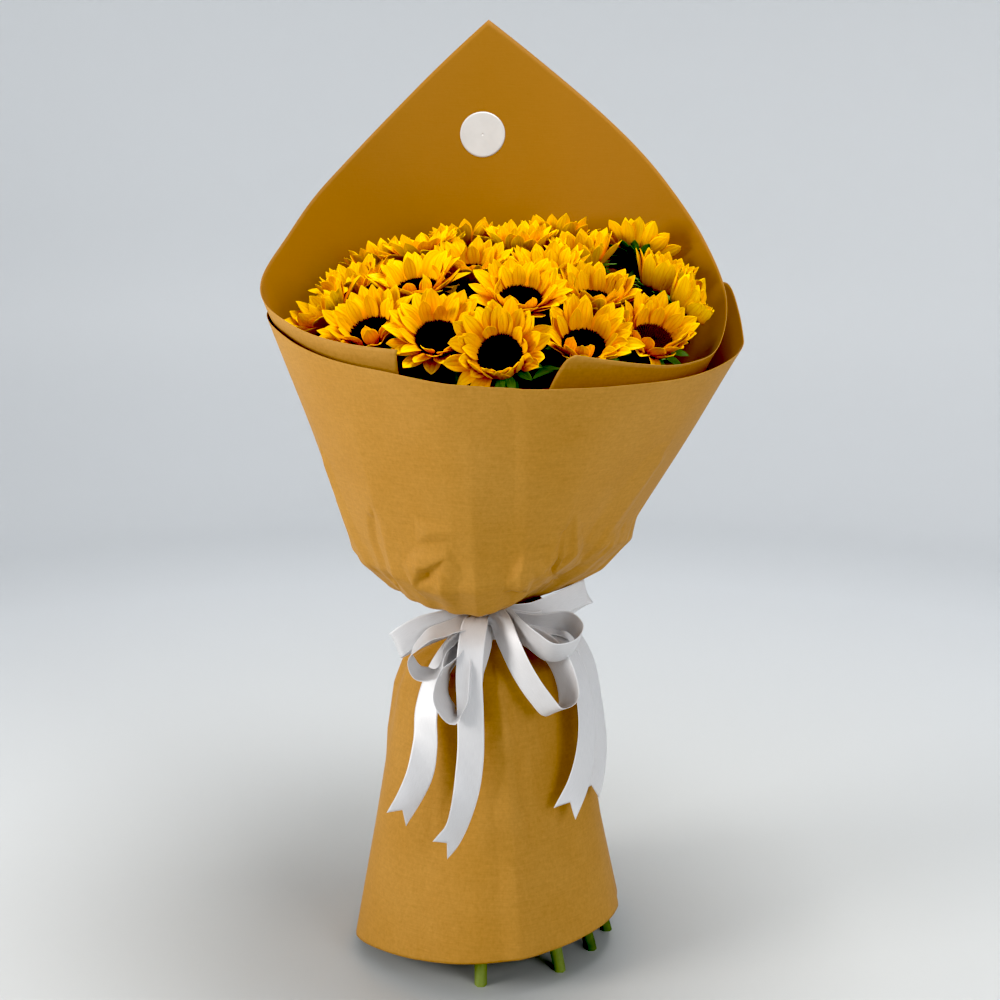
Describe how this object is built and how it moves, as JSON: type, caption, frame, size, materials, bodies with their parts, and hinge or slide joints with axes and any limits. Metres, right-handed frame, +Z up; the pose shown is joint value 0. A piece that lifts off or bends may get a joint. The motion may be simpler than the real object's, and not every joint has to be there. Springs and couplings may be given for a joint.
{
  "type": "wrapped bunch of sunflowers",
  "caption": "Tied bunch of sunflowers in a flared kraft paper wrap with a satin ribbon bow, standing upright on its cut stems.",
  "frame": {"origin": "the middle of the bounding box at the level of the floor that the cut stem ends stand on", "axes": "+Z up along the bunch, -Y towards its front with the bow, +X to its right as seen from the front"},
  "size_m": [0.4642, 0.4732, 0.9361],
  "materials": {
    "kraft_paper": "matte",
    "label_paper": "satin",
    "satin_ribbon": "satin",
    "petals": "matte",
    "disc": "matte",
    "green": "matte"
  },
  "bodies": {
    "root": {"wrap_back": "kraft_paper", "wrap_cup": "kraft_paper", "wrap_skirt": "kraft_paper", "label": "label_paper", "ribbon_band": "satin_ribbon", "ribbon_bow": "satin_ribbon", "petals_01": "petals", "petals_02": "petals", "petals_03": "petals", "petals_04": "petals", "petals_05": "petals", "petals_06": "petals", "petals_07": "petals", "petals_08": "petals", "petals_09": "petals", "petals_10": "petals", "petals_11": "petals", "petals_12": "petals", "petals_13": "petals", "petals_14": "petals", "petals_15": "petals", "petals_16": "petals", "petals_17": "petals", "petals_18": "petals", "petals_19": "petals", "petals_20": "petals", "petals_21": "petals", "petals_22": "petals", "petals_23": "petals", "petals_24": "petals", "disc_01": "disc", "disc_02": "disc", "disc_03": "disc", "disc_04": "disc", "disc_05": "disc", "disc_06": "disc", "disc_07": "disc", "disc_08": "disc", "disc_09": "disc", "disc_10": "disc", "disc_11": "disc", "disc_12": "disc", "disc_13": "disc", "disc_14": "disc", "disc_15": "disc", "disc_16": "disc", "disc_17": "disc", "disc_18": "disc", "disc_19": "disc", "disc_20": "disc", "disc_21": "disc", "disc_22": "disc", "disc_23": "disc", "disc_24": "disc", "stems_1": "green", "stems_2": "green", "stems_3": "green", "stems_4": "green", "stems_5": "green", "stems_6": "green"}
  },
  "joints": []
}
